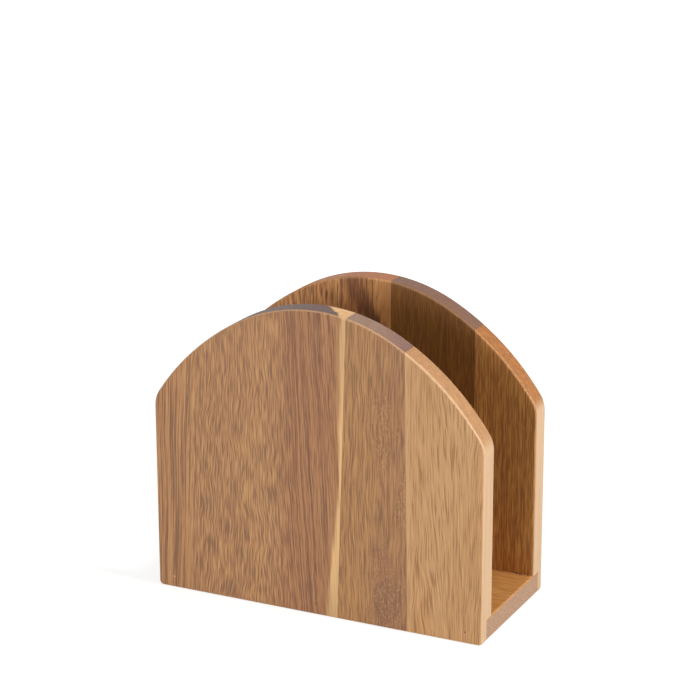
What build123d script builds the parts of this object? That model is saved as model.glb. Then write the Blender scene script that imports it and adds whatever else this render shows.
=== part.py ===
"""Upright napkin holder in acacia: two arched panels joined by a base board.

Millimetres. +X is the width, +Y runs from the front panel to the back panel, +Z is up.
The origin is on the table, in the middle of the width and of the depth.

Each panel is edge-glued from three upright staves, then cut to its arched outline. Its lower
inner edge is rebated over the whole width, and the base board is glued into both rebates,
flush underneath. Headless steel pins, driven in through the feet of the panels, held the
base board while the glue dried. Left and right are as seen from the front.
"""

from build123d import *
import os

# ---- Driving dimensions ----

# Outline of a panel, seen from the front
panel_width = 150.0
panel_height = 131.5
arch_rise = 47.0  # from the tops of the straight sides to the crown of the arch
crown_radius = 71.5
crown_half_angle = 28.0  # degrees of crown arc on each side of the middle
shoulder_radius = 12.0
bottom_corner_radius = 2.0  # of the panels, and of the base board's ends between them

# Thickness of the boards, and the rounding that sanding leaves on their edges
panel_thickness = 10.0
panel_edge_round = 1.0
base_thickness = 10.0
base_edge_round = 1.0

# The slot for the napkins, and how deep the base board is let into each panel
slot_depth = 45.0
rebate_depth = 5.5

# Where the staves of each panel meet, measured along the foot to the right of the middle
front_left_joint = 10.1
front_left_joint_lean = 1.85  # degrees from upright, to the right as it rises
front_right_joint = 42.0
front_right_joint_lean = -0.9  # to the left, so the middle stave narrows upwards
back_left_joint = 8.5
back_right_joint = 47.0

# Headless pins: a row through the foot of each panel into the edge of the base board
pin_count = 3
pin_diameter = 0.65
pin_length = 20.0
pin_point = 1.2  # length of the tapered point
pin_tip_diameter = 0.2
pin_inset = 7.5  # from the sides of the panel to the outer pins
pin_set = 0.4  # how far the pins are driven below the surface
pin_fit = 0.05  # between a pin and the wood, all round

# ---- Worked out from the driving dimensions ----

depth = slot_depth + 2 * panel_thickness
base_depth = slot_depth + 2 * rebate_depth
shoulder_height = panel_height - arch_rise
pin_height = base_thickness / 2
pin_pitch = (panel_width - 2 * pin_inset) / (pin_count - 1)
pin_hole_radius = pin_diameter / 2 + pin_fit
pin_hole_depth = pin_set + pin_length

# The outer faces of the two panels, each seen square on with +Z up
front_face = Plane(origin=(0, -depth / 2, 0), x_dir=(1, 0, 0), z_dir=(0, -1, 0))
back_face = Plane(origin=(0, depth / 2, 0), x_dir=(-1, 0, 0), z_dir=(0, 1, 0))

os.makedirs("parts", exist_ok=True)


def write(piece, name):
    """Labels a finished piece and writes it to a file of its own."""
    piece.part.label = name
    export_step(piece.part, f"parts/{name}.step")


def pin_places(face):
    """A row of places across the foot of a panel, where its pins enter the outer face."""
    row = GridLocations(pin_pitch, 0, pin_count, 1)
    return [face.location * Location((place.position.X, pin_height)) for place in row]


# ---- Panels, before they are divided into staves ----


def panel(face):
    """A whole panel with its outer side on the given face."""
    with BuildPart() as board:
        with BuildSketch(face) as outline:
            with BuildLine():
                crown = CenterArc(
                    (0, panel_height - crown_radius),
                    crown_radius,
                    90 - crown_half_angle,
                    2 * crown_half_angle,
                )
                flank = TangentArc(
                    crown @ 0,
                    (panel_width / 2, shoulder_height),
                    tangent=-(crown % 0),
                )
                mirror(flank, about=Plane.YZ)
                Polyline(
                    (panel_width / 2, shoulder_height),
                    (panel_width / 2, 0),
                    (-panel_width / 2, 0),
                    (-panel_width / 2, shoulder_height),
                )
            make_face()
            fillet(outline.vertices().group_by(Axis.Y)[1], shoulder_radius)
            fillet(outline.vertices().group_by(Axis.Y)[0], bottom_corner_radius)
        extrude(amount=-panel_thickness)
        around_faces = board.edges().group_by(Axis.Y)
        fillet(around_faces[0] + around_faces[-1], panel_edge_round)
        with Locations(face.offset(-panel_thickness)):
            Box(
                panel_width,
                base_thickness,
                rebate_depth,
                align=(Align.CENTER, Align.MIN, Align.MIN),
                mode=Mode.SUBTRACT,
            )
        with Locations(pin_places(face)):
            Hole(pin_hole_radius, pin_hole_depth)
    return board.part


front_panel = panel(front_face)
back_panel = panel(back_face)

# ---- Front staves ----

left_joint = Plane.YZ.offset(front_left_joint).rotated((0, front_left_joint_lean, 0))
right_joint = Plane.YZ.offset(front_right_joint).rotated((0, front_right_joint_lean, 0))

with BuildPart() as front_stave_left:
    add(front_panel)
    split(bisect_by=left_joint, keep=Keep.BOTTOM)
write(front_stave_left, "front_stave_left")

with BuildPart() as front_stave_middle:
    add(front_panel)
    split(bisect_by=left_joint, keep=Keep.TOP)
    split(bisect_by=right_joint, keep=Keep.BOTTOM)
write(front_stave_middle, "front_stave_middle")

with BuildPart() as front_stave_right:
    add(front_panel)
    split(bisect_by=right_joint, keep=Keep.TOP)
write(front_stave_right, "front_stave_right")

# ---- Back staves ----

with BuildPart() as back_stave_left:
    add(back_panel)
    split(bisect_by=Plane.YZ.offset(back_left_joint), keep=Keep.BOTTOM)
write(back_stave_left, "back_stave_left")

with BuildPart() as back_stave_middle:
    add(back_panel)
    split(bisect_by=Plane.YZ.offset(back_left_joint), keep=Keep.TOP)
    split(bisect_by=Plane.YZ.offset(back_right_joint), keep=Keep.BOTTOM)
write(back_stave_middle, "back_stave_middle")

with BuildPart() as back_stave_right:
    add(back_panel)
    split(bisect_by=Plane.YZ.offset(back_right_joint), keep=Keep.TOP)
write(back_stave_right, "back_stave_right")

# ---- Base board, its grain along the width ----

with BuildPart() as base_board:
    with BuildSketch():
        Rectangle(panel_width, base_depth)
    extrude(amount=base_thickness)
    fillet(base_board.edges().filter_by(Axis.Y).group_by(Axis.Z)[0], bottom_corner_radius)
    fillet(base_board.edges().filter_by(Axis.Y).group_by(Axis.Z)[-1], base_edge_round)
    with Locations(pin_places(front_face) + pin_places(back_face)):
        Hole(pin_hole_radius, pin_hole_depth)
write(base_board, "base_board")

# ---- Pins ----


def pins(face):
    """The row of pins that goes in through one panel, each with a tapered point."""
    with BuildPart() as row:
        with Locations([place * Location((0, 0, -pin_set)) for place in pin_places(face)]):
            Cylinder(
                pin_diameter / 2,
                pin_length - pin_point,
                align=(Align.CENTER, Align.CENTER, Align.MAX),
            )
        with Locations([place * Location((0, 0, -pin_hole_depth)) for place in pin_places(face)]):
            Cone(
                pin_tip_diameter / 2,
                pin_diameter / 2,
                pin_point,
                align=(Align.CENTER, Align.CENTER, Align.MIN),
            )
    return row


front_pins = pins(front_face)
write(front_pins, "front_pins")

back_pins = pins(back_face)
write(back_pins, "back_pins")
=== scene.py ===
"""The looks of an acacia napkin holder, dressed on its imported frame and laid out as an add-on.

The boards are the frame's own nodes. Each gets a wood of its own, whose pattern is solid: the
lines on a face carry on as the dots of the end grain on the rim beside it. Sizes are in
millimetres until they reach a mesh or a property, and left and right are as seen from the front.
"""

import math
from functools import partial
from types import SimpleNamespace

import bpy
from bpy.props import FloatProperty, FloatVectorProperty, PointerProperty
from mathutils import Matrix, Vector


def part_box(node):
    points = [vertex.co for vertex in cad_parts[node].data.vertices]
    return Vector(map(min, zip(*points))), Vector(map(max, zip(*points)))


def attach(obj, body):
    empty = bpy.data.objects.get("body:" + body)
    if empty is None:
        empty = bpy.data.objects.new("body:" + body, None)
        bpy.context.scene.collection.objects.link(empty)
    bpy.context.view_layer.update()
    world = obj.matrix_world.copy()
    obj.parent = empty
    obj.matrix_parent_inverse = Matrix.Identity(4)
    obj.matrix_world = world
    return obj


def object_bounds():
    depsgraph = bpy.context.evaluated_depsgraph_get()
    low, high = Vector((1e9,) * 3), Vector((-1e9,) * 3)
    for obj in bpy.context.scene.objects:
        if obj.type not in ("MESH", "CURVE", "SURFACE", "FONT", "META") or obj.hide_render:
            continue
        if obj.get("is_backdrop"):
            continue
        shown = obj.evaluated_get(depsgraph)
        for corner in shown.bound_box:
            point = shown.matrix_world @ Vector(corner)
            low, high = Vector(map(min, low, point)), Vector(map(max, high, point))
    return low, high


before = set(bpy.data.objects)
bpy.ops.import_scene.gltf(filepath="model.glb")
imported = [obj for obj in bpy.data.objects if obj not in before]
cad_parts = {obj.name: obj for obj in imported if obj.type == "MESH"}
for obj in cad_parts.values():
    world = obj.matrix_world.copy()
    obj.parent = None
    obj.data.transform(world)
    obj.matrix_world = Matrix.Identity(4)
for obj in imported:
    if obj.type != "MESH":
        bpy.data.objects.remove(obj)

bl_info = {
    "name": "Acacia Napkin Holder",
    "version": (1, 0, 0),
    "blender": (4, 5, 0),
    "location": "3D View > Sidebar > Napkin Holder",
    "description": "Oiled acacia, steel pins and dried glue for a napkin holder, and its pale stage",
    "category": "Object",
}

MM = 0.001


# ---- Places read from the frame, in millimetres ----


def corners(node):
    """The lowest and highest corners of a node of the frame, in millimetres."""
    low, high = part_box(node)
    return low / MM, high / MM


holder_low, holder_high = (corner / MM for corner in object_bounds())
base_top = corners("base_board")[1].z
back_inner_y = corners("back_stave_left")[0].y
back_joint = corners("back_stave_left")[1].x
# The joints of the front staves lean: where each stands at the foot, at its top, and how high that is
front_middle_low, front_middle_high = corners("front_stave_middle")
left_joint = (front_middle_low.x, corners("front_stave_left")[1].x, front_middle_high.z)
right_joint = (front_middle_high.x, corners("front_stave_right")[0].x, corners("front_stave_right")[1].z)
# The pins lie along Y in two rows, a little below the outer faces
pins_low, pins_high = corners("front_pins")
pin_radius = (pins_high.z - pins_low.z) / 2
pin_height = (pins_high.z + pins_low.z) / 2
pin_inset = pins_low.y - holder_low.y
outer_pin = pins_high.x - pin_radius
PIN_COUNT = 3  # in each row


# ---- Colours, lengths and nodes ----

RGBA = {"data_type": "RGBA"}
SMOOTH = {"interpolation_type": "SMOOTHSTEP"}


def srgb(code):
    """The linear colour that a shader takes, from a colour written as an sRGB hex value."""
    shares = [int(code[i : i + 2], 16) / 255 for i in (0, 2, 4)]
    return [s / 12.92 if s <= 0.04045 else ((s + 0.055) / 1.055) ** 2.4 for s in shares]


def colour(name, code, description):
    """A colour that the user can change, with an sRGB hex value as its default."""
    return FloatVectorProperty(
        name=name, description=description, subtype="COLOR", min=0, max=1, default=srgb(code)
    )


def size(name, millimetres, description):
    """A length that the user can change, with its default in millimetres."""
    return FloatProperty(
        name=name, description=description, default=millimetres * MM, min=0, precision=5, unit="LENGTH"
    )


def add_node(tree, kind, *values, out=None, **settings):
    """Adds a node with its settings, and gives back its first output, or the one named by out.

    The values fill its inputs in order, each a number, a colour or another node's output.
    None leaves an input as it is.
    """
    made = tree.nodes.new("ShaderNode" + kind)
    for name, setting in settings.items():
        setattr(made, name, setting)
    for socket, value in zip([s for s in made.inputs if s.enabled], values):
        if isinstance(value, bpy.types.NodeSocket):
            tree.links.new(value, socket)
        elif value is not None:
            socket.default_value = [*value, 1] if socket.type == "RGBA" else value
    return made.outputs[out] if out else next((s for s in made.outputs if s.enabled), None)


def new_material(name):
    """An empty material, and the function that adds nodes to it."""
    material = bpy.data.materials.new(name)
    material.use_nodes = True
    material.node_tree.nodes.clear()
    return material, partial(add_node, material.node_tree)


def dress(node, material):
    """Gives a node of the frame its finish."""
    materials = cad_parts[node].data.materials
    materials.clear()
    materials.append(material)


# ---- Patterns that the woods share ----

# The width and length of each pattern's cells in millimetres. Its lines are about as wide as a
# cell and stand nearly two cells apart. Real fibre is finer than the picture shows, so it is
# drawn as coarse as it needs to show. The sways and wavers bend all the others.
SWAYS = (24, 80)
WAVERS = (13, 15)
CLOUDS = (9, 55)
BANDS = (1.7, 100)
LINES = (0.42, 55)
VESSELS = (0.9, 14)
DASHES = (0.58, 8)
FIBRE = (0.4, 6)
CURLS = (0.9, 1.6)
SIDE_LINES = (0.8, 60)
END_RINGS = (2.2, 40)
END_PORE_LENGTH = 5

# The noise at which each pattern begins to show, and at which it shows in full
CLOUD_RANGE = (0.35, 0.65)
BAND_RANGE = (0.45, 0.68)
LINE_RANGE = (0.5, 0.62)
PORE_RANGE = (0.5, 0.58)
GLEAM_RANGE = (0.5, 0.41)
FIBRE_RANGE = (0.25, 0.75)

# How squarely a surface faces along an axis, from 0 to 1: where the edges of a board give way to
# its faces, where its sides give way to its ends, and where the rounding begins and is over
EDGE_TO_FACE = (0.3, 0.7)
SIDE_TO_END = (0.1, 0.7)
INTO_ROUNDING = (0.15, 0.5)
OUT_OF_ROUNDING = (0.8, 0.97)

PORE_DEPTH = 0.06  # of the relief that the open pores leave
SATIN, MATT = 0.48, 0.65  # the roughness of oiled wood between its pores, and in them


def start_wood(name, seed, along="Z"):
    """A new wood with the places that its patterns read.

    board is a place in the board, moved by a seed of its own, with the grain along its Z.
    cut is 1 on the edges where the fibres are cut across, side is 1 on the edges along them, and
    arris is 1 on the sanded rounding between a face and an edge.
    """
    material, add = new_material(name)
    place = add("VectorMath", add("TexCoord", out="Object"), 1 / MM, operation="SCALE")
    normal = add("TexCoord", out="Normal")
    x, y, z = (add("SeparateXYZ", place, out=axis) for axis in "XYZ")
    facing = {}
    for axis in "XYZ":
        facing[axis] = add("Math", add("SeparateXYZ", normal, out=axis), operation="ABSOLUTE")
    if along == "Z":
        board, flat, end = place, facing["Y"], facing["Z"]
    else:
        board, flat, end = add("CombineXYZ", y, z, x), facing["Z"], facing["X"]
    edge = add("MapRange", flat, *EDGE_TO_FACE, 1.0, 0.0, **SMOOTH)
    across = add("MapRange", end, *SIDE_TO_END, **SMOOTH)
    lengthwise = add("Math", 1.0, across, operation="SUBTRACT")
    leaving_edge = add("MapRange", flat, *INTO_ROUNDING, **SMOOTH)
    leaving_face = add("MapRange", flat, *OUT_OF_ROUNDING, 1.0, 0.0, **SMOOTH)
    return SimpleNamespace(
        material=material,
        add=add,
        x=x,
        y=y,
        z=z,
        board=add("VectorMath", board, seed, operation="ADD"),
        cut=add("Math", edge, across, operation="MULTIPLY"),
        side=add("Math", edge, lengthwise, operation="MULTIPLY"),
        arris=add("Math", leaving_edge, leaving_face, operation="MULTIPLY"),
    )


def streaks(wood, place, width, length, detail=1.0):
    """Noise from 0 to 1 in streaks along the grain, from cells of this width and length."""
    cells = wood.add("VectorMath", place, (1 / width, 1 / width, 1 / length), operation="MULTIPLY")
    return wood.add("TexNoise", cells, 1.0, detail, 0.55)


def flowing(wood, sway, waver, lean=0.0):
    """The places in a board after its grain has swayed over its length and wavered closer by.

    sway and waver are how far a line strays in millimetres, and lean is a shift added to them.
    """
    add = wood.add
    slow = add("Math", streaks(wood, wood.board, *SWAYS), 0.5, operation="SUBTRACT")
    quick = add("Math", streaks(wood, wood.board, *WAVERS), 0.5, operation="SUBTRACT")
    stray = add("Math", slow, sway, lean, operation="MULTIPLY_ADD")
    stray = add("Math", quick, waver, stray, operation="MULTIPLY_ADD")
    return add("VectorMath", wood.board, add("CombineXYZ", stray, 0.0, 0.0), operation="ADD")


def joint_at(wood, foot, top, height):
    """Where a leaning joint stands across the width, at each height in the wood."""
    return wood.add("Math", wood.z, (top - foot) / height, foot, operation="MULTIPLY_ADD")


def leaning(wood, peak, width, slope, middle):
    """A shift that leans the lines one way left of the peak and the other way right of it.

    width is how fast the lean turns round, and no line has moved at the middle height.
    """
    add = wood.add
    aside = add("Math", wood.x, -peak, operation="ADD")
    turn = add("Math", add("Math", aside, 1 / width, operation="MULTIPLY"), operation="SINE")
    height = add("Math", wood.z, -middle, operation="ADD")
    return add("Math", add("Math", turn, slope, operation="MULTIPLY"), height, operation="MULTIPLY")


def heartwood(wood, flow, look, straight=0.0, sparse=0.0, marks=DASHES):
    """The colour of the heartwood: clouds, growth bands, long lines, vessels, dashes and fibre.

    Where straight nears 1 the long lines take over from the shorter marks, whose cells are given,
    and sparse leaves out the weaker ones. The relief of the open pores is kept for the bump.
    """
    add = wood.add
    clouds = streaks(wood, flow, *CLOUDS)
    bands = streaks(wood, flow, *BANDS, detail=2.0)
    lines = streaks(wood, flow, *LINES)
    vessels = streaks(wood, flow, *VESSELS)
    dashes = streaks(wood, flow, *marks)
    fibre = streaks(wood, flow, *FIBRE, detail=2.0)
    pale_share = add("MapRange", clouds, *CLOUD_RANGE, **SMOOTH)
    tone = add("Mix", pale_share, list(look.ground), list(look.pale), **RGBA)
    band_share = add("MapRange", bands, *BAND_RANGE, 0.0, look.bands, **SMOOTH)
    tone = add("Mix", band_share, tone, list(look.vein), **RGBA)

    # Ridges of smooth fibre lie between the pores, and catch the light
    short = add("Mix", 0.2, dashes, vessels, data_type="FLOAT")
    pattern = add("Mix", straight, short, lines, data_type="FLOAT")
    weak, strong = (limit - sparse for limit in GLEAM_RANGE)
    gleam_share = add("MapRange", pattern, weak, strong, 0.0, 0.9 * look.dashes, **SMOOTH)
    tone = add("Mix", gleam_share, tone, list(look.gleam), **RGBA)
    line_share = add("MapRange", lines, *LINE_RANGE, 0.0, look.lines, **SMOOTH)
    tone = add("Mix", line_share, tone, list(look.vessel), **RGBA)
    weak, strong = (limit + sparse for limit in PORE_RANGE)
    pore_share = add("MapRange", pattern, weak, strong, 0.0, look.dashes, **SMOOTH)
    tone = add("Mix", pore_share, tone, list(look.vessel), **RGBA)
    wood.pits = pore_share
    wood.relief = add("Math", fibre, -0.5, pore_share, operation="MULTIPLY_ADD")
    grey = add("MapRange", fibre, *FIBRE_RANGE, 1 - look.fibre, 1 + look.fibre)
    return add("VectorMath", tone, grey, operation="SCALE")


def sanded_edges(wood, flow, look, tone, end, pore=0.6, contrast=0.18):
    """The tone, turned to the side's where an edge runs along the fibres and to the end grain's
    where it cuts across them. pore is the width of the pores there, in millimetres.
    """
    add = wood.add
    side_lines = streaks(wood, wood.board, *SIDE_LINES)
    side_lines = add("MapRange", side_lines, 0.38, 0.64, 1.05, 0.92)
    side = add("VectorMath", list(look.side), side_lines, operation="SCALE")
    tone = add("Mix", wood.side, tone, side, **RGBA)
    pores = streaks(wood, flow, pore, END_PORE_LENGTH)
    rings = streaks(wood, flow, *END_RINGS)
    shade = add("MapRange", pores, 0.35, 0.68, 1 + 0.5 * contrast, 1 - contrast)
    shade = add("Math", shade, add("MapRange", rings, 0.3, 0.7, 0.9, 1.1), operation="MULTIPLY")
    return add("Mix", wood.cut, tone, add("VectorMath", end, shade, operation="SCALE"), **RGBA)


def finish_wood(wood, look, tone):
    """Oil that has soaked in: a satin surface with open pores, paler along the arrises, where sanding
    wear and a painted highlight both lighten the colour.
    """
    add = wood.add
    # Painted highlight with real wear: the rounded edges take the arris colour, paler sanded wood with a
    # painted highlight in it as well
    worn = add("Math", wood.arris, look.worn, operation="MULTIPLY")
    tone = add("Mix", worn, tone, list(look.arris), **RGBA)
    surface = add("BsdfPrincipled", tone, 0.0, add("MapRange", wood.pits, 0.0, 1.0, SATIN, MATT))
    bump = add("Bump", 0.35, PORE_DEPTH * MM, None, wood.relief, invert=True)
    wood.material.node_tree.links.new(bump, surface.node.inputs["Normal"])
    add("OutputMaterial", surface)
    return wood.material


# ---- What the user can change ----


def wood_look(
    ground, pale, vein, vessel, gleam, end, arris, side, bands, lines, dashes, fibre, worn=0.25
):
    """The properties that every board's wood has, with one board's own defaults."""
    share = partial(FloatProperty, min=0, max=1, subtype="FACTOR")
    return {
        "ground": colour("Ground", ground, "Heartwood between the lines"),
        "pale": colour("Pale", pale, "Paler clouds"),
        "vein": colour("Vein", vein, "Darker growth bands"),
        "vessel": colour("Vessel", vessel, "Open pores that run along the grain"),
        "gleam": colour("Gleam", gleam, "Smooth fibre between the pores, which catches the light"),
        "end": colour("End grain", end, "Where the fibres are cut across"),
        # The arris colour and its share paint the rounded edges paler: partly sanded wood, partly a
        # painted highlight
        "arris": colour("Arris", arris, "Sanded corners, where the oil has worn off"),
        "side": colour("Side", side, "Edges sanded along the grain"),
        "bands": share(name="Bands", description="How strong the growth bands are", default=bands),
        "lines": share(name="Lines", description="How strong the long lines are", default=lines),
        "dashes": share(name="Dashes", description="How strong the short dashes are", default=dashes),
        "fibre": share(name="Fibre", description="How strong the finest grain is", default=fibre),
        "worn": share(name="Worn", description="How far the arrises are worn", default=worn),
    }


class FrontLeftLook(bpy.types.PropertyGroup):
    """Tan heartwood, redder and straighter at the left, with sapwood down to the joint."""

    __annotations__ = wood_look(
        ground="AC794C", pale="B58252", vein="9A6B44", vessel="7E593F",
        gleam="CC9A64", end="5C4038", arris="DDB48C", side="CAA47B",
        bands=0.12, lines=0.25, dashes=0.75, fibre=0.1, worn=0.4,
    ) | {
        "red": colour("Red", "E4D8D8", "Tint of the straight bands at the left and before the sapwood"),
        "sapwood": colour("Sapwood", "E4B67C", "The pale strip down to the joint"),
        "sapwood_end": colour("Sapwood end", "EAB67C", "The same strip on the rim"),
        "sapwood_foot": size("Sapwood at the foot", 4.2, "How wide the pale strip is at its foot"),
        "sapwood_waist": size("Sapwood at the waist", 1.4, "How wide it is where it is narrowest"),
    }


class FrontMiddleLook(bpy.types.PropertyGroup):
    """Brown heartwood with purple-brown lines, darker to the right, and a burl at the foot."""

    __annotations__ = wood_look(
        ground="A57343", pale="B07E4A", vein="8E633E", vessel="765036",
        gleam="C29059", end="96735C", arris="DDB48C", side="CAA47B",
        bands=0.15, lines=0.25, dashes=0.68, fibre=0.1, worn=0.4,
    ) | {
        "burl": colour("Burl", "825840", "The dark curly patch at the foot"),
        "dusky": colour("Dusky", "80594C", "The darker grain at the right, and its end grain"),
        "burl_width": size("Burl width", 11, "From the middle of the burl to its sides"),
        "burl_height": size("Burl height", 30, "From the middle of the burl to its top"),
    }


class FrontRightLook(bpy.types.PropertyGroup):
    """The palest stave, with fine short pores."""

    # Its arrises carry the strongest painted highlight, mixed with paler sanded wood
    __annotations__ = wood_look(
        ground="C08E5A", pale="C69663", vein="B88654", vessel="93653C",
        gleam="D4A572", end="BA8654", arris="E4C096", side="CCA67D",
        bands=0.12, lines=0.12, dashes=0.7, fibre=0.08, worn=0.6,
    )


class BackLeftLook(bpy.types.PropertyGroup):
    """Orange-brown heartwood with near-black figure."""

    __annotations__ = wood_look(
        ground="BE7A40", pale="D6985A", vein="8F5531", vessel="62381F",
        gleam="E2A666", end="AE6632", arris="CF9A6C", side="C4A179",
        bands=0.4, lines=0.5, dashes=0.45, fibre=0.1,
    ) | {
        "dark": colour("Dark", "5A3018", "The dark flame beside the joint"),
        "flame": size("Flame", 6.5, "From the middle of the dark flame to its sides"),
    }


class BackMiddleLook(bpy.types.PropertyGroup):
    """The darkest stave: olive brown, close and plain."""

    __annotations__ = wood_look(
        ground="83531D", pale="8E5D24", vein="724518", vessel="5D3513",
        gleam="9C6B2C", end="7C523A", arris="BF8E66", side="C4A179",
        bands=0.45, lines=0.4, dashes=0.4, fibre=0.1,
    )


class BackRightLook(bpy.types.PropertyGroup):
    """Mid brown, sawn on the quarter, with straight lines and speckled end grain."""

    __annotations__ = wood_look(
        ground="BE803C", pale="C68C46", vein="A46A32", vessel="86522A",
        gleam="D89C56", end="A86828", arris="D8A374", side="CDA880",
        bands=0.5, lines=0.5, dashes=0.5, fibre=0.08,
    )


class BaseLook(bpy.types.PropertyGroup):
    """Orange-brown heartwood, its end grain greyer."""

    __annotations__ = wood_look(
        ground="C68644", pale="D49753", vein="AF7036", vessel="92592D",
        gleam="DCA35E", end="A98160", arris="C48E58", side="D0A070",
        bands=0.4, lines=0.35, dashes=0.5, fibre=0.08,
    )


class PinLook(bpy.types.PropertyGroup):
    """The steel pins, and the putty wiped over their heads."""

    zinc: colour("Zinc", "C2C6C8", "The coat on the pins")
    putty: colour("Putty", "6B452A", "Putty over the pins")
    dry_putty: colour("Dry putty", "CDBB9E", "Putty at the front left, which has dried pale")
    dish: size("Dish", 0.06, "How far the putty has sunk in its hole")


class GlueLook(bpy.types.PropertyGroup):
    """The beads of glue left in the corner behind the base board's right-hand end."""

    glue: colour("Glue", "4A2A16", "Dried glue with sanding dust in it")
    crust: colour("Crust", "A88468", "Where the dust lies thick on it")
    size: FloatProperty(
        name="Size", description="Size of the beads, as a share of their own", default=1, min=0.2, max=2
    )


class StageLook(bpy.types.PropertyGroup):
    """The light and the camera."""

    ambient: FloatProperty(name="Ambient", description="Strength of the room's light", default=0.3, min=0)
    lens: FloatProperty(name="Lens", description="Focal length", default=121.25, min=1, unit="CAMERA")


class HolderLook(bpy.types.PropertyGroup):
    """The finishes of the napkin holder and its stage, each named as the operator that uses it."""

    front_left: PointerProperty(type=FrontLeftLook, name="Front left stave")
    front_middle: PointerProperty(type=FrontMiddleLook, name="Front middle stave")
    front_right: PointerProperty(type=FrontRightLook, name="Front right stave")
    back_left: PointerProperty(type=BackLeftLook, name="Back left stave")
    back_middle: PointerProperty(type=BackMiddleLook, name="Back middle stave")
    back_right: PointerProperty(type=BackRightLook, name="Back right stave")
    base: PointerProperty(type=BaseLook, name="Base board")
    pins: PointerProperty(type=PinLook, name="Pins and putty")
    glue: PointerProperty(type=GlueLook, name="Dried glue")
    stage: PointerProperty(type=StageLook, name="Stage")


# ---- Front staves ----


class HOLDER_OT_front_left(bpy.types.Operator):
    """Finish the left front stave"""

    bl_idname = "holder.front_left"
    bl_label = "Front left stave"

    def execute(self, context):
        look = context.scene.napkin_holder.front_left
        # Acacia sawn flat from beside the sapwood, sanded and oiled: the growth layers show as an
        # arch of short open pores between straight reddish lines, all with a satin gloss
        wood = start_wood("acacia_flat_sawn", (0.0, 0.0, 0.0))
        add = wood.add
        # Across the width: where the lines at the left begin to arch, where the arch calms down and
        # turns straight again, where the tint at the left ends and where it comes back
        arching, calming, straightening = (-62.0, -50.0), (-20.0, -6.0), (-22.0, -6.0)
        red_ending, red_returning = (-64.0, -55.0), (-20.0, -8.0)
        lean = leaning(wood, peak=-28.0, width=15.0, slope=0.055, middle=0.0)
        waver_left = add("MapRange", wood.x, *arching, 0.6, 3.6, **SMOOTH)
        waver_right = add("MapRange", wood.x, *calming, 1.0, 0.25, **SMOOTH)
        waver = add("Math", waver_left, waver_right, operation="MULTIPLY")
        straight_left = add("MapRange", wood.x, *arching, 0.7, 0.0, **SMOOTH)
        straight_right = add("MapRange", wood.x, *straightening, 0.0, 0.5, **SMOOTH)
        straight = add("Math", straight_left, straight_right, operation="MAXIMUM")
        flow = flowing(wood, 4.0, waver, lean)
        tone = heartwood(wood, flow, look, straight, marks=(0.5, 9))
        red_left = add("MapRange", wood.x, *red_ending, 0.35, 0.0, **SMOOTH)
        red_right = add("MapRange", wood.x, *red_returning, 0.0, 0.9, **SMOOTH)
        red_share = add("Math", red_left, red_right, operation="MAXIMUM")
        tone = add("Mix", red_share, tone, list(look.red), blend_type="MULTIPLY", **RGBA)

        # Sapwood: from the joint inwards. It narrows from the foot to the waist and widens a little
        # again above it, and it spreads by this much for each millimetre through the thickness
        waist_height, widening, spread = 62.0, (75.0, 125.0), 1.04
        from_joint = add("Math", joint_at(wood, *left_joint), wood.x, operation="SUBTRACT")
        at_foot, at_waist = look.sapwood_foot / MM, look.sapwood_waist / MM
        width = add("MapRange", wood.z, 0.0, waist_height, at_foot, at_waist, **SMOOTH)
        width = add("Math", width, add("MapRange", wood.z, *widening, 0.0, 0.9), operation="ADD")
        inwards = add("Math", wood.y, holder_low.y, operation="SUBTRACT")
        width = add("Math", inwards, spread, width, operation="MULTIPLY_ADD")
        ragged = add("Math", streaks(wood, wood.board, 1.6, 18), 0.5, operation="SUBTRACT")
        width = add("Math", ragged, 3.0, width, operation="MULTIPLY_ADD")
        past = add("Math", from_joint, width, operation="SUBTRACT")
        sap_share = add("MapRange", past, -0.9, 0.9, 1.0, 0.0, **SMOOTH)
        halo = add("MapRange", past, 0.0, 5.0, 0.4, 0.0, **SMOOTH)
        tone = add("Mix", halo, tone, list(look.pale), **RGBA)
        # It has a few thin lines, and is palest at mid height
        sap_lines = add("MapRange", streaks(wood, flow, *LINES), 0.4, 0.7, 1.07, 0.82)
        foot = add("MapRange", wood.z, 0.0, 30.0, 0.8, 1.0, **SMOOTH)
        top = add("MapRange", wood.z, 75.0, 120.0, 1.0, 0.8, **SMOOTH)
        shade = add("Math", foot, top, operation="MULTIPLY")
        shade = add("Math", sap_lines, shade, operation="MULTIPLY")
        sap = add("VectorMath", list(look.sapwood), shade, operation="SCALE")
        tone = add("Mix", sap_share, tone, sap, **RGBA)
        end = add("Mix", sap_share, list(look.end), list(look.sapwood_end), **RGBA)
        tone = sanded_edges(wood, flow, look, tone, end)
        dress("front_stave_left", finish_wood(wood, look, tone))
        return {"FINISHED"}


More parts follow.
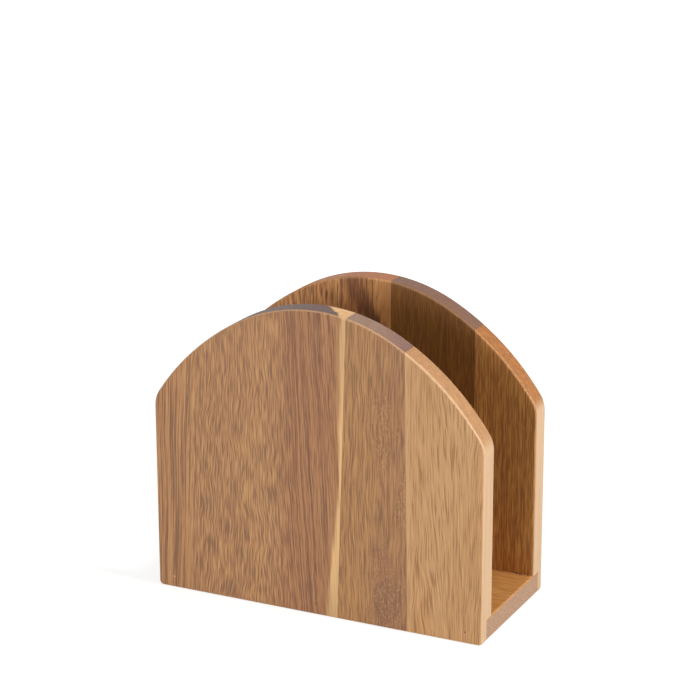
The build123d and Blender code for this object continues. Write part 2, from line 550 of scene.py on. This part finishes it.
class HOLDER_OT_front_middle(bpy.types.Operator):
    """Finish the middle front stave"""

    bl_idname = "holder.front_middle"
    bl_label = "Front middle stave"

    def execute(self, context):
        look = context.scene.napkin_holder.front_middle
        # Acacia with a burl, sanded and oiled: thin purple-brown lines in satin brown, and at the
        # foot fibres that turn about, so that they show as small curls
        wood = start_wood("acacia_curly", (40.0, 0.0, 210.0))
        add = wood.add
        flow = flowing(wood, 4.0, 2.2)
        tone = heartwood(wood, flow, look, sparse=0.02, marks=(0.45, 11))
        dusk_start = 22.0
        dusk = add("MapRange", wood.x, dusk_start, right_joint[0], **SMOOTH)
        dusk_share = add("Math", dusk, 0.15, operation="MULTIPLY")
        tone = add("Mix", dusk_share, tone, list(look.dusky), **RGBA)

        # The burl: a dark patch at the foot that thins out upwards
        burl_middle = (31.5, 0.0, 8.0)
        from_burl = add("CombineXYZ", wood.x, 0.0, wood.z)
        from_burl = add("VectorMath", from_burl, burl_middle, operation="SUBTRACT")
        shares = (MM / look.burl_width, 0.0, MM / look.burl_height)
        from_burl = add("VectorMath", from_burl, shares, operation="MULTIPLY")
        away = add("VectorMath", from_burl, operation="LENGTH", out="Value")
        ragged = add("Math", streaks(wood, wood.board, 5, 9), 0.5, operation="SUBTRACT")
        away = add("Math", ragged, 1.6, away, operation="MULTIPLY_ADD")
        burl = add("MapRange", away, 0.1, 1.2, 0.6, 0.0, **SMOOTH)
        tone = add("Mix", burl, tone, list(look.burl), **RGBA)
        # Small curls of wood in it, and here and there up the right of the stave
        curly = add("MapRange", streaks(wood, wood.board, 9, 30), 0.5, 0.66, 0.0, 0.5, **SMOOTH)
        curly = add("Math", curly, add("MapRange", wood.x, 20.0, 30.0), operation="MULTIPLY")
        curly = add("Math", curly, burl, operation="MAXIMUM")
        curls = streaks(wood, flow, *CURLS, detail=2.0)
        dark_share = add("MapRange", curls, 0.51, 0.6, 0.0, 0.7, **SMOOTH)
        dark_share = add("Math", dark_share, curly, operation="MULTIPLY")
        tone = add("Mix", dark_share, tone, list(look.vessel), **RGBA)
        pale_share = add("MapRange", curls, 0.46, 0.36, 0.0, 0.9, **SMOOTH)
        pale_share = add("Math", pale_share, curly, operation="MULTIPLY")
        tone = add("Mix", pale_share, tone, list(look.gleam), **RGBA)
        end = add("Mix", dusk, list(look.end), list(look.dusky), **RGBA)
        tone = sanded_edges(wood, flow, look, tone, end)
        dress("front_stave_middle", finish_wood(wood, look, tone))
        return {"FINISHED"}


class HOLDER_OT_front_right(bpy.types.Operator):
    """Finish the right front stave"""

    bl_idname = "holder.front_right"
    bl_label = "Front right stave"

    def execute(self, context):
        look = context.scene.napkin_holder.front_right
        # Acacia from the outer heartwood, sanded and oiled: a light satin tan in which the pores are
        # short and thin, with arrises sanded pale and a strong painted highlight on them
        wood = start_wood("acacia_pale", (90.0, 0.0, 420.0))
        add = wood.add
        # The lines lean over to the left in the middle of the stave, and it is paler by the joint
        lean = leaning(wood, peak=42.0, width=8.0, slope=0.08, middle=50.0)
        flow = flowing(wood, 5.0, 1.6, lean)
        tone = heartwood(wood, flow, look, sparse=0.035, marks=(0.45, 13))
        from_joint = add("Math", wood.x, joint_at(wood, *right_joint), operation="SUBTRACT")
        pale_share = add("MapRange", from_joint, 0.5, 3.0, 0.5, 0.0, **SMOOTH)
        tone = add("Mix", pale_share, tone, list(look.gleam), **RGBA)
        tone = sanded_edges(wood, flow, look, tone, list(look.end))
        dress("front_stave_right", finish_wood(wood, look, tone))
        return {"FINISHED"}


# ---- Back staves ----


class HOLDER_OT_back_left(bpy.types.Operator):
    """Finish the left back stave"""

    bl_idname = "holder.back_left"
    bl_label = "Back left stave"

    def execute(self, context):
        look = context.scene.napkin_holder.back_left
        # Figured acacia, sanded and oiled: dark growth layers cut at a slant, which show as a broad
        # flame and a few flecks in bright orange-brown
        wood = start_wood("acacia_figured", (150.0, 0.0, 610.0))
        add = wood.add
        flow = flowing(wood, 5.0, 1.6)
        tone = heartwood(wood, flow, look)
        # Beside the joint it is plain and pale
        pale_share = add("MapRange", wood.x, back_joint - 7, back_joint - 3, 0.0, 0.5, **SMOOTH)
        tone = add("Mix", pale_share, tone, list(look.pale), **RGBA)
        # A few near-black flecks hang from the rim at the left
        below_rim, left_end = (108.0, 122.0), (-12.0, -17.0)
        flecks = add("MapRange", streaks(wood, wood.board, 1.3, 14), 0.6, 0.7, 0.0, 0.9, **SMOOTH)
        flecks = add("Math", flecks, add("MapRange", wood.z, *below_rim), operation="MULTIPLY")
        flecks = add("Math", flecks, add("MapRange", wood.x, *left_end), operation="MULTIPLY")
        tone = add("Mix", flecks, tone, list(look.dark), **RGBA)
        # A broad dark flame falls from the crown towards the joint. It darkens on the way, and
        # has faded out by the middle of the board
        crown_height, foot_height, crown_x, foot_x = 128.0, 108.0, -9.5, 4.0
        darkening, fading = (126.0, 112.0), (66.0, 102.0)
        falling = add("MapRange", wood.z, crown_height, foot_height, crown_x, foot_x)
        aside = add("Math", wood.x, falling, operation="SUBTRACT")
        ragged = add("Math", streaks(wood, flow, 2.2, 22), 0.5, operation="SUBTRACT")
        aside = add("Math", ragged, 8.0, aside, operation="MULTIPLY_ADD")
        aside = add("Math", aside, operation="ABSOLUTE")
        flame = add("MapRange", aside, 2.0, look.flame / MM, 1.0, 0.0, **SMOOTH)
        flame = add("Math", flame, add("MapRange", wood.z, *darkening, 0.5, 0.9), operation="MULTIPLY")
        flame = add("Math", flame, add("MapRange", wood.z, *fading, **SMOOTH), operation="MULTIPLY")
        tone = add("Mix", flame, tone, list(look.dark), **RGBA)
        tone = sanded_edges(wood, flow, look, tone, list(look.end))
        dress("back_stave_left", finish_wood(wood, look, tone))
        return {"FINISHED"}


class HOLDER_OT_back_middle(bpy.types.Operator):
    """Finish the middle back stave"""

    bl_idname = "holder.back_middle"
    bl_label = "Back middle stave"

    def execute(self, context):
        look = context.scene.napkin_holder.back_middle
        # Acacia from the inner heartwood, sanded and oiled: close and plain, and so dark that its
        # pores hardly stand out
        wood = start_wood("acacia_dark", (210.0, 0.0, 800.0))
        flow = flowing(wood, 3.0, 1.2)
        tone = heartwood(wood, flow, look)
        tone = sanded_edges(wood, flow, look, tone, list(look.end))
        dress("back_stave_middle", finish_wood(wood, look, tone))
        return {"FINISHED"}


class HOLDER_OT_back_right(bpy.types.Operator):
    """Finish the right back stave"""

    bl_idname = "holder.back_right"
    bl_label = "Back right stave"

    def execute(self, context):
        look = context.scene.napkin_holder.back_right
        # Acacia sawn on the quarter, sanded and oiled: the growth layers stand edge-on, so they show
        # as straight lines, and on the rim as speckles
        wood = start_wood("acacia_quarter_sawn", (270.0, 0.0, 990.0))
        flow = flowing(wood, 1.5, 0.4)
        tone = heartwood(wood, flow, look)
        tone = sanded_edges(wood, flow, look, tone, list(look.end), pore=0.9, contrast=0.3)
        dress("back_stave_right", finish_wood(wood, look, tone))
        return {"FINISHED"}


# ---- Base board ----


class HOLDER_OT_base(bpy.types.Operator):
    """Finish the base board"""

    bl_idname = "holder.base"
    bl_label = "Base board"

    def execute(self, context):
        look = context.scene.napkin_holder.base
        # Acacia with its grain along the holder, sanded and oiled: warm satin on top, and greyer at
        # the ends, where the cut fibres scatter the light
        wood = start_wood("acacia_long_grain", (330.0, 0.0, 40.0), along="X")
        flow = flowing(wood, 4.0, 1.5)
        tone = heartwood(wood, flow, look)
        tone = sanded_edges(wood, flow, look, tone, list(look.end), pore=0.9, contrast=0.24)
        dress("base_board", finish_wood(wood, look, tone))
        return {"FINISHED"}


# ---- Pins and putty ----

# The width and length of the marks that drawing leaves on the wire, in millimetres, and the size
# of the grit in the putty
DRAWN_LINES = (0.05, 1.0)
GRIT = 0.2

# A plug's width as a share of its pin's, and its depth as a share of the hole's over the pin. Its
# face is inset three times, by this share of the pin's radius, and sinks by these shares of the
# whole dish
PLUG_WIDTH = 1.12
PLUG_DEPTH = 0.95
PLUG_INSET = 0.25
DISH_SHARES = (0.5, 0.3, 0.2)


def select_faces(piece, wanted):
    """Selects the faces that a test picks out on the piece in edit mode, and no others."""
    bpy.ops.object.mode_set(mode="OBJECT")
    for part in (*piece.data.vertices, *piece.data.edges):
        part.select = False
    for face in piece.data.polygons:
        face.select = wanted(face)
    bpy.ops.object.mode_set(mode="EDIT")


def join_as(name, pieces):
    """Joins finished pieces into one with its place in its mesh, which rides on the holder."""
    bpy.ops.object.select_all(action="DESELECT")
    for piece in pieces:
        piece.select_set(True)
    bpy.context.view_layer.objects.active = pieces[0]
    bpy.ops.object.join()
    bpy.ops.object.transform_apply(location=True, rotation=True, scale=True)
    bpy.ops.object.shade_smooth_by_angle(angle=math.radians(40))
    joined = bpy.context.object
    joined.name = joined.data.name = name
    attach(joined, "root")
    return joined


def putty_plug(side, dish):
    """A plug of putty in the hole over a panel's first pin, its face sunk a little.

    side is -1 for the front panel and 1 for the back one.
    """
    bpy.ops.object.select_all(action="DESELECT")
    at = Vector((-outer_pin, side * (holder_high.y - pin_inset / 2), pin_height)) * MM
    bpy.ops.mesh.primitive_cylinder_add(
        vertices=24, radius=pin_radius * PLUG_WIDTH * MM, depth=pin_inset * PLUG_DEPTH * MM,
        location=at, rotation=(math.pi / 2, 0, 0)
    )
    plug = bpy.context.object
    bpy.ops.object.transform_apply(location=True, rotation=True, scale=True)
    bpy.ops.object.mode_set(mode="EDIT")
    bpy.ops.mesh.select_mode(type="FACE")
    select_faces(plug, lambda face: face.normal.y * side > 0.9)
    for share in DISH_SHARES:
        bpy.ops.mesh.inset(thickness=pin_radius * PLUG_INSET * MM)
        bpy.ops.transform.translate(value=(0, -side * dish * share, 0))
    bpy.ops.object.mode_set(mode="OBJECT")
    return plug


def putty_row(name, first):
    """Copies the first plug over a panel's other pins, and joins them all."""
    pitch = 2 * outer_pin / (PIN_COUNT - 1)
    plugs = [first]
    for number in range(1, PIN_COUNT):
        bpy.ops.object.select_all(action="DESELECT")
        first.select_set(True)
        bpy.context.view_layer.objects.active = first
        bpy.ops.object.duplicate()
        bpy.ops.transform.translate(value=(pitch * number * MM, 0, 0))
        plugs.append(bpy.context.object)
    join_as(name, plugs)


class HOLDER_OT_pins(bpy.types.Operator):
    """Finish the pins, and fill the holes over them with putty"""

    bl_idname = "holder.pins"
    bl_label = "Pins and putty"

    def execute(self, context):
        look = context.scene.napkin_holder.pins
        # Steel wire, drawn and then zinc-coated: cool grey, with faint lines along the wire
        steel, add = new_material("zinc_coated_steel")
        width, length = (mark * MM for mark in DRAWN_LINES)
        cells = (1 / width, 1 / length, 1 / width)
        place = add("VectorMath", add("TexCoord", out="Object"), cells, operation="MULTIPLY")
        drawn = add("TexNoise", place, 1.0, 2.0, 0.6)
        shade = add("MapRange", drawn, 0.3, 0.7, 0.85, 1.05)
        tone = add("VectorMath", list(look.zinc), shade, operation="SCALE")
        gloss = add("MapRange", drawn, 0.3, 0.7, 0.28, 0.45)
        add("OutputMaterial", add("BsdfPrincipled", tone, 1.0, gloss))
        dress("front_pins", steel)
        dress("back_pins", steel)

        # Wood putty, wiped on and sanded: dull and gritty. Real grit is finer than the picture
        # shows, so it is drawn as coarse as it needs to show
        putty, add = new_material("wood_putty")
        place = add("TexCoord", out="Object")
        x, y = (add("SeparateXYZ", place, out=axis) for axis in "XY")
        place = add("VectorMath", place, 1 / (GRIT * MM), operation="SCALE")
        grit = add("TexNoise", place, 1.0, 2.0, 0.6)
        dry = add("Math", x, -outer_pin / 2 * MM, operation="LESS_THAN")
        dry = add("Math", dry, add("Math", y, 0.0, operation="LESS_THAN"), operation="MULTIPLY")
        tone = add("Mix", dry, list(look.putty), list(look.dry_putty), **RGBA)
        tone = add("VectorMath", tone, add("MapRange", grit, 0.3, 0.7, 0.8, 1.2), operation="SCALE")
        surface = add("BsdfPrincipled", tone, 0.0, 0.7)
        bump = add("Bump", 0.4, 0.04 * MM, None, grit)
        putty.node_tree.links.new(bump, surface.node.inputs["Normal"])
        add("OutputMaterial", surface)

        for name, side in (("front_putty", -1), ("back_putty", 1)):
            plug = putty_plug(side, look.dish)
            plug.data.materials.append(putty)
            putty_row(name, plug)
        return {"FINISHED"}


# ---- Dried glue ----

# Each bead in the corner: how far it lies from the board's end, its radius and its length as a
# share of its width
GLUE_BEADS = (
    (1.5, 0.42, 1.2),
    (2.4, 0.30, 1.6),
    (5.5, 0.52, 1.3),
    (6.5, 0.36, 1.2),
    (7.4, 0.44, 1.7),
    (8.7, 0.32, 1.5),
)
LUMPS = 0.3  # how far a bead's surface strays, as a share of its radius
DUST_PATCH = 0.625  # the size of the patches of dust on the beads, in millimetres


def glue_bead(number, from_end, radius, stretch):
    """A lumpy bead, cut off where it meets the base board and the back panel.

    The cut is rough: points within a tenth of a millimetre of it stay, so a bead reaches that far
    into the wood, and its mesh isn't closed there.
    """
    bpy.ops.object.select_all(action="DESELECT")
    corner = Vector((holder_high.x - from_end, back_inner_y, base_top)) * MM
    bpy.ops.mesh.primitive_ico_sphere_add(subdivisions=4, radius=radius * MM, location=corner)
    bead = bpy.context.object
    bead.scale.x = stretch
    bpy.ops.object.transform_apply(location=True, rotation=True, scale=True)
    bpy.ops.object.mode_set(mode="EDIT")
    bpy.ops.mesh.select_all(action="SELECT")
    bpy.ops.transform.vertex_random(offset=LUMPS * radius * MM, normal=0.5, seed=number)
    bpy.ops.mesh.vertices_smooth(factor=0.5, repeat=3)
    for across in ((0, 1, 0), (0, 0, -1)):
        bpy.ops.mesh.select_all(action="SELECT")
        bpy.ops.mesh.bisect(plane_co=corner, plane_no=across, use_fill=True, clear_outer=True)
    bpy.ops.object.mode_set(mode="OBJECT")
    return bead


class HOLDER_OT_glue(bpy.types.Operator):
    """Leave beads of dried glue in the corner behind the base board's end"""

    bl_idname = "holder.glue"
    bl_label = "Dried glue"

    def execute(self, context):
        look = context.scene.napkin_holder.glue
        beads = []
        for number, (from_end, radius, stretch) in enumerate(GLUE_BEADS):
            beads.append(glue_bead(number, from_end, radius * look.size, stretch))
        glue = join_as("dried_glue", beads)
        # Wood glue, squeezed out and dried: dark and glassy, with dust stuck on in patches
        material, add = new_material("dried_wood_glue")
        place = add("TexCoord", out="Object")
        place = add("VectorMath", place, 1 / (DUST_PATCH * MM), operation="SCALE")
        dust = add("MapRange", add("TexNoise", place, 1.0, 2.0, 0.6), 0.52, 0.62, **SMOOTH)
        tone = add("Mix", dust, list(look.glue), list(look.crust), **RGBA)
        surface = add("BsdfPrincipled", tone, 0.0, add("MapRange", dust, 0.0, 1.0, 0.12, 0.6), 1.47)
        add("OutputMaterial", surface)
        glue.data.materials.append(material)
        return {"FINISHED"}


# ---- Stage ----

FLOOR_SIZE = 8  # metres
FLOOR_DROP = 0.05  # millimetres under the feet, so that the floor doesn't cut into them
GLOW_REACH = (0.2, 0.5)  # metres from the holder, over which the floor turns fully white

# Each lamp's bearing in degrees from the front towards the right, its height in degrees above
# the horizon, its power in watts, its width and height in metres, and its distance in metres
LAMPS = {
    "key": (91, 27, 12.5, 0.5, 0.5, 1.3),
    "fill": (-8, 9, 8.4, 0.5, 0.5, 1.5),
    "top": (20, 80, 3.5, 0.8, 0.8, 1.4),
}

# The photograph's camera. In degrees: its turn to the left, its tilt down and its roll. In
# millimetres: the place it is set out from, and how far right, up and back from there it stands
CAMERA_TURNS = (25.99, 17.19, -0.12)
CAMERA_START = (0, -2.5, 60)
CAMERA_RIGHT, CAMERA_UP, CAMERA_BACK = 1.34, 44.69, 988.5


def lamp_at(name, bearing, height, power, wide, tall, distance):
    """A soft lamp that faces the middle of the holder."""
    turn, rise = math.radians(bearing), math.radians(height)
    level = math.cos(rise)
    towards = Vector((math.sin(turn) * level, -math.cos(turn) * level, math.sin(rise)))
    middle = Vector((0, 0, holder_high.z / 2)) * MM
    bpy.ops.object.light_add(type="AREA", location=middle + towards * distance)
    lamp = bpy.context.object
    lamp.name = name
    lamp.data.shape = "RECTANGLE"
    lamp.data.size = wide
    lamp.data.size_y = tall
    lamp.data.energy = power
    lamp.rotation_mode = "QUATERNION"
    lamp.rotation_quaternion = towards.to_track_quat("Z", "Y")


def seen_directly(add):
    """1 for what the camera sees, and what it sees in gloss or through glass, and 0 for light."""
    camera, gloss, glass = (
        add("LightPath", out=f"Is {ray} Ray") for ray in ("Camera", "Glossy", "Transmission")
    )
    seen = add("Math", camera, gloss, operation="MAXIMUM")
    return add("Math", seen, glass, operation="MAXIMUM")


def lay_floor():
    """A sheet of paper under the holder, which is the stage and not part of it."""
    bpy.ops.object.select_all(action="DESELECT")
    bpy.ops.mesh.primitive_plane_add(size=FLOOR_SIZE, location=(0, 0, -FLOOR_DROP * MM))
    floor = bpy.context.object
    floor.name = "floor"
    # Uncoated white paper, pressed smooth but matt: it scatters light evenly and shows no gloss
    material, add = new_material("white_paper")
    paper = add("BsdfDiffuse", srgb("E6E6E6"))
    # White to the eye away from the holder, and just dim enough near it to show its shadow
    away = add("VectorMath", add("TexCoord", out="Object"), operation="LENGTH", out="Value")
    glow = add("MapRange", away, *GLOW_REACH, 0.76, 1.0, **SMOOTH)
    lit = add("AddShader", add("BsdfDiffuse", (0.4, 0.4, 0.4)), add("Emission", (1, 1, 1), glow))
    add("OutputMaterial", add("MixShader", seen_directly(add), paper, lit))
    floor.data.materials.append(material)
    floor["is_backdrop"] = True


def light_room(ambient):
    """Even light from all round, which is white where it is seen."""
    world = bpy.data.worlds.new("studio")
    bpy.context.scene.world = world
    world.use_nodes = True
    world.node_tree.nodes.clear()
    add = partial(add_node, world.node_tree)
    strength = add("Mix", seen_directly(add), ambient, 1.0, data_type="FLOAT")
    add("OutputWorld", add("Background", (1, 1, 1), strength))


def place_camera(lens):
    """The camera, where it has the photograph's perspective and frame."""
    yaw, pitch, roll = (math.radians(angle) for angle in CAMERA_TURNS)
    level = math.cos(pitch)
    ahead = Vector((-math.sin(yaw) * level, math.cos(yaw) * level, -math.sin(pitch)))
    right = Vector((math.cos(yaw), math.sin(yaw), 0))
    up = right.cross(ahead)
    cos, sin = math.cos(roll), math.sin(roll)
    right, up = right * cos + up * sin, up * cos - right * sin
    at = Vector(CAMERA_START) + right * CAMERA_RIGHT + up * CAMERA_UP - ahead * CAMERA_BACK
    bpy.ops.object.camera_add()
    camera = bpy.context.object
    camera.name = "camera"
    camera.data.lens = lens
    camera.data.sensor_width = 36
    camera.data.clip_end = 20
    turn = Matrix((right, up, -ahead)).transposed().to_4x4()
    camera.matrix_world = Matrix.Translation(at * MM) @ turn
    bpy.context.scene.camera = camera


class HOLDER_OT_stage(bpy.types.Operator):
    """Build the floor, the lamps and the camera"""

    bl_idname = "holder.stage"
    bl_label = "Stage"

    def execute(self, context):
        look = context.scene.napkin_holder.stage
        lay_floor()
        light_room(look.ambient)
        for name, settings in LAMPS.items():
            lamp_at(name, *settings)
        place_camera(look.lens)
        context.scene.view_settings.view_transform = "Standard"
        return {"FINISHED"}


# ---- The add-on ----

OPERATORS = (
    HOLDER_OT_front_left,
    HOLDER_OT_front_middle,
    HOLDER_OT_front_right,
    HOLDER_OT_back_left,
    HOLDER_OT_back_middle,
    HOLDER_OT_back_right,
    HOLDER_OT_base,
    HOLDER_OT_pins,
    HOLDER_OT_glue,
    HOLDER_OT_stage,
)


class HOLDER_PT_panel(bpy.types.Panel):
    """The steps that dress the napkin holder, each with what the user can change"""

    bl_idname = "HOLDER_PT_panel"
    bl_label = "Napkin Holder"
    bl_space_type = "VIEW_3D"
    bl_region_type = "UI"
    bl_category = "Napkin Holder"

    def draw(self, context):
        for operator in OPERATORS:
            box = self.layout.box()
            box.operator(operator.bl_idname)
            look = getattr(context.scene.napkin_holder, operator.bl_idname.removeprefix("holder."))
            for name in type(look).__annotations__:
                box.prop(look, name)


CLASSES = (
    FrontLeftLook,
    FrontMiddleLook,
    FrontRightLook,
    BackLeftLook,
    BackMiddleLook,
    BackRightLook,
    BaseLook,
    PinLook,
    GlueLook,
    StageLook,
    HolderLook,
    *OPERATORS,
    HOLDER_PT_panel,
)


def register():
    """Adds the classes, and the looks to every scene."""
    for cls in CLASSES:
        bpy.utils.register_class(cls)
    bpy.types.Scene.napkin_holder = PointerProperty(type=HolderLook)


def unregister():
    """Takes away what register added."""
    del bpy.types.Scene.napkin_holder
    for cls in reversed(CLASSES):
        bpy.utils.unregister_class(cls)


def main():
    """Dresses the holder step by step."""
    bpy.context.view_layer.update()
    register()
    bpy.ops.holder.front_left()
    bpy.ops.holder.front_middle()
    bpy.ops.holder.front_right()
    bpy.ops.holder.back_left()
    bpy.ops.holder.back_middle()
    bpy.ops.holder.back_right()
    bpy.ops.holder.base()
    bpy.ops.holder.pins()
    bpy.ops.holder.glue()
    bpy.ops.holder.stage()


if __name__ == "__main__":
    main()
